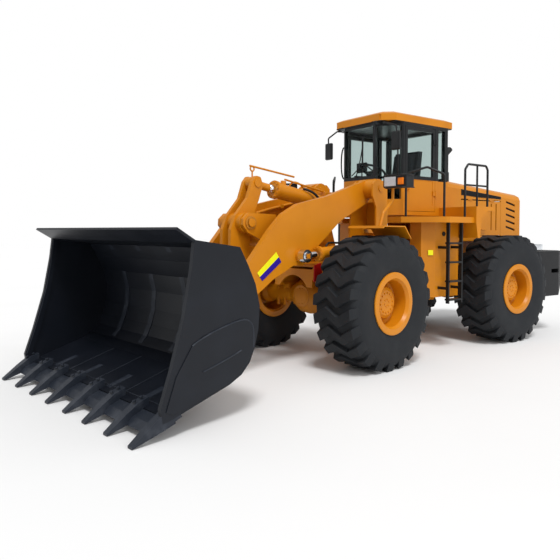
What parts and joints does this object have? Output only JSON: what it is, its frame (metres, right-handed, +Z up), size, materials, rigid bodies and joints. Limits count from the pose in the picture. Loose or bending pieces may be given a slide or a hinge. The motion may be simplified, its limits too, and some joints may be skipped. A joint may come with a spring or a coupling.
{
  "type": "wheel loader",
  "caption": "Articulated wheel loader with a toothed bucket on two lift arms, a central bellcrank linkage, a glazed cab over the hinge and large lugged tyres.",
  "frame": {"origin": "on the ground, under the middle of the machine's overall box, as parked with its front half turned 8 degrees to the left", "axes": "+X ahead along the rear half, +Y to the machine's left, +Z up"},
  "size_m": [9.0306, 3.6528, 3.54],
  "materials": {
    "yellow_paint": "semi-gloss",
    "black_paint": "satin",
    "bucket_paint": "satin",
    "worn_steel": "worn",
    "chrome_rod": "polished",
    "pin_steel": "satin",
    "tyre_rubber": "matte",
    "rim_paint": "semi-gloss",
    "glass": "clear",
    "lamp_glass": "clear",
    "seat_cover": "matte",
    "cab_trim": "matte",
    "engine_iron": "matte"
  },
  "bodies": {
    "rear_frame": {"rear_frame": "yellow_paint", "rear_axle": "yellow_paint", "engine_block": "engine_iron", "hood": "yellow_paint", "exhaust": "black_paint", "counterweight": "black_paint", "cab": "black_paint", "roof": "yellow_paint", "cab_glass": "glass", "seat": "seat_cover", "consoles": "cab_trim", "platforms": "yellow_paint", "tanks": "yellow_paint", "ladders": "black_paint", "handrails": "black_paint", "mirrors": "black_paint", "lamps": "lamp_glass"},
    "front_frame": {"front_frame": "yellow_paint", "front_axle": "yellow_paint", "front_fenders": "yellow_paint", "headlamp_lenses": "lamp_glass", "tilt_pin": "pin_steel"},
    "boom": {"boom": "yellow_paint"},
    "bucket_pins": {"bucket_pins": "pin_steel"},
    "bucket": {"bucket": "bucket_paint", "bucket_edge": "worn_steel"},
    "bellcrank_pin": {"bellcrank_pin": "pin_steel"},
    "bellcrank": {"bellcrank": "yellow_paint"},
    "link_pin": {"link_pin": "pin_steel"},
    "link": {"link": "yellow_paint"},
    "tilt_barrel": {"tilt_barrel": "yellow_paint"},
    "tilt_rod": {"tilt_rod": "chrome_rod"},
    "lift_barrels": {"lift_barrels": "yellow_paint"},
    "lift_rods": {"lift_rods": "chrome_rod"},
    "steer_barrel_left": {"steer_barrel_left": "yellow_paint"},
    "steer_rod_left": {"steer_rod_left": "chrome_rod"},
    "steer_barrel_right": {"steer_barrel_right": "yellow_paint"},
    "steer_rod_right": {"steer_rod_right": "chrome_rod"},
    "door": {"door_left": "black_paint", "door_glass_left": "glass"},
    "lid_left": {"lid_left": "yellow_paint"},
    "lid_right": {"lid_right": "yellow_paint"},
    "grille_door": {"grille_door": "black_paint"},
    "wheel_front_left": {"tyre_front_left": "tyre_rubber", "rim_front_left": "rim_paint"},
    "wheel_front_right": {"tyre_front_right": "tyre_rubber", "rim_front_right": "rim_paint"},
    "wheel_rear_left": {"tyre_rear_left": "tyre_rubber", "rim_rear_left": "rim_paint"},
    "wheel_rear_right": {"tyre_rear_right": "tyre_rubber", "rim_rear_right": "rim_paint"}
  },
  "joints": [
    {"name": "steer", "type": "hinge", "parent": "rear_frame", "child": "front_frame", "pos_m": [-0.94528, -0.40043, 0.7], "axis": [0, 0, 1], "range_deg": [-45.92, 30.08]},
    {"name": "lift", "type": "hinge", "parent": "front_frame", "child": "boom", "pos_m": [0.0749, -0.2585, 2.35], "axis": [0.1378, -0.9905, 0], "range_deg": [0, 65]},
    {"name": "bucket_level", "type": "hinge", "parent": "boom", "child": "bucket_pins", "pos_m": [2.79867, 0.12042, 0.655], "axis": [0.1378, -0.9905, 0], "range_deg": [-66, 1]},
    {"name": "tilt", "type": "hinge", "parent": "bucket_pins", "child": "bucket", "pos_m": [2.79867, 0.12042, 0.655], "axis": [0.1378, -0.9905, 0], "range_deg": [-24, 55]},
    {"name": "crank_level", "type": "hinge", "parent": "boom", "child": "bellcrank_pin", "pos_m": [2.02611, 0.01294, 1.85], "axis": [0.1378, -0.9905, 0], "range_deg": [-1, 32.38]},
    {"name": "crank_tilt", "type": "hinge", "parent": "bellcrank_pin", "child": "bellcrank", "pos_m": [2.02611, 0.01294, 1.85], "axis": [0.1378, -0.9905, 0], "range_deg": [-26.61, 12.18]},
    {"name": "link_level", "type": "hinge", "parent": "bellcrank", "child": "link_pin", "pos_m": [1.92409, -0.00125, 1.006], "axis": [0.1378, -0.9905, 0], "range_deg": [-52.67, 1]},
    {"name": "link_tilt", "type": "hinge", "parent": "link_pin", "child": "link", "pos_m": [1.92409, -0.00125, 1.006], "axis": [0.1378, -0.9905, 0], "range_deg": [-3.98, 7.82]},
    {"name": "tilt_cylinder_lift", "type": "hinge", "parent": "front_frame", "child": "tilt_barrel", "pos_m": [0.10956, -0.25368, 2.087], "axis": [0.1378, -0.9905, 0], "range_deg": [-1, 55.3]},
    {"name": "tilt_cylinder_stroke", "type": "slide", "parent": "tilt_barrel", "child": "tilt_rod", "axis": [0.9779, 0.136, 0.159], "range_m": [-0.1177, 0.2568]},
    {"name": "lift_cylinder_swing", "type": "hinge", "parent": "front_frame", "child": "lift_barrels", "pos_m": [0.09471, -0.25575, 1.55], "axis": [0.1378, -0.9905, 0], "range_deg": [-1, 55.86]},
    {"name": "lift_cylinder_stroke", "type": "slide", "parent": "lift_barrels", "child": "lift_rods", "axis": [0.9873, 0.1373, -0.08], "range_m": [-0.01, 0.8138]},
    {"name": "steer_swing_left", "type": "hinge", "parent": "rear_frame", "child": "steer_barrel_left", "pos_m": [-1.79528, 0.09957, 1], "axis": [0, 0, 1], "range_deg": [-13.06, 8.9]},
    {"name": "steer_stroke_left", "type": "slide", "parent": "steer_barrel_left", "child": "steer_rod_left", "axis": [0.9995, -0.0314, 0], "range_m": [-0.2306, 0.3468]},
    {"name": "steer_swing_right", "type": "hinge", "parent": "rear_frame", "child": "steer_barrel_right", "pos_m": [-1.79528, -0.90043, 1], "axis": [0, 0, 1], "range_deg": [-12.1, 8.27]},
    {"name": "steer_stroke_right", "type": "slide", "parent": "steer_barrel_right", "child": "steer_rod_right", "axis": [0.9945, 0.1048, 0], "range_m": [-0.3674, 0.2441]},
    {"name": "spin_front_left", "type": "hinge", "parent": "front_frame", "child": "wheel_front_left", "pos_m": [0.51403, 0.90309, 0.85], "axis": [-0.1378, 0.9905, 0], "continuous": true},
    {"name": "spin_front_right", "type": "hinge", "parent": "front_frame", "child": "wheel_front_right", "pos_m": [0.81441, -1.25612, 0.85], "axis": [-0.1378, 0.9905, 0], "continuous": true},
    {"name": "spin_rear_left", "type": "hinge", "parent": "rear_frame", "child": "wheel_rear_left", "pos_m": [-2.57028, 0.68957, 0.85], "axis": [0, 1, 0], "continuous": true},
    {"name": "spin_rear_right", "type": "hinge", "parent": "rear_frame", "child": "wheel_rear_right", "pos_m": [-2.57028, -1.49043, 0.85], "axis": [0, 1, 0], "continuous": true},
    {"name": "door", "type": "hinge", "parent": "rear_frame", "child": "door", "pos_m": [-1.44528, 0.25857, 2.7], "axis": [0, 0, 1], "range_deg": [0, 75]},
    {"name": "lid_left", "type": "hinge", "parent": "rear_frame", "child": "lid_left", "pos_m": [-2.71028, 0.20157, 2.284], "axis": [1, 0, 0], "range_deg": [0, 75]},
    {"name": "lid_right", "type": "hinge", "parent": "rear_frame", "child": "lid_right", "pos_m": [-2.71028, -1.00243, 2.284], "axis": [-1, 0, 0], "range_deg": [0, 75]},
    {"name": "grille_swing", "type": "hinge", "parent": "rear_frame", "child": "grille_door", "pos_m": [-3.87928, 0.08557, 2], "axis": [0, 0, -1], "range_deg": [0, 85]}
  ],
  "couplings": [
    {"joint": "bucket_level", "follows": "lift", "ratio": -1},
    {"joint": "crank_level", "follows": "lift", "ratio": 0.48274},
    {"joint": "crank_tilt", "follows": "tilt", "ratio": -0.46568},
    {"joint": "link_level", "follows": "lift", "ratio": -0.79495},
    {"joint": "link_tilt", "follows": "tilt", "ratio": 0.12402},
    {"joint": "tilt_cylinder_lift", "follows": "lift", "ratio": 0.83536},
    {"joint": "tilt_cylinder_stroke", "follows": "tilt", "m_per_rad": 0.25713},
    {"joint": "lift_cylinder_swing", "follows": "lift", "ratio": 0.84403},
    {"joint": "lift_cylinder_stroke", "follows": "lift", "m_per_rad": 0.70849},
    {"joint": "steer_swing_left", "follows": "steer", "ratio": 0.26271},
    {"joint": "steer_stroke_left", "follows": "steer", "m_per_rad": -0.42023},
    {"joint": "steer_swing_right", "follows": "steer", "ratio": 0.24166},
    {"joint": "steer_stroke_right", "follows": "steer", "m_per_rad": 0.4459}
  ]
}
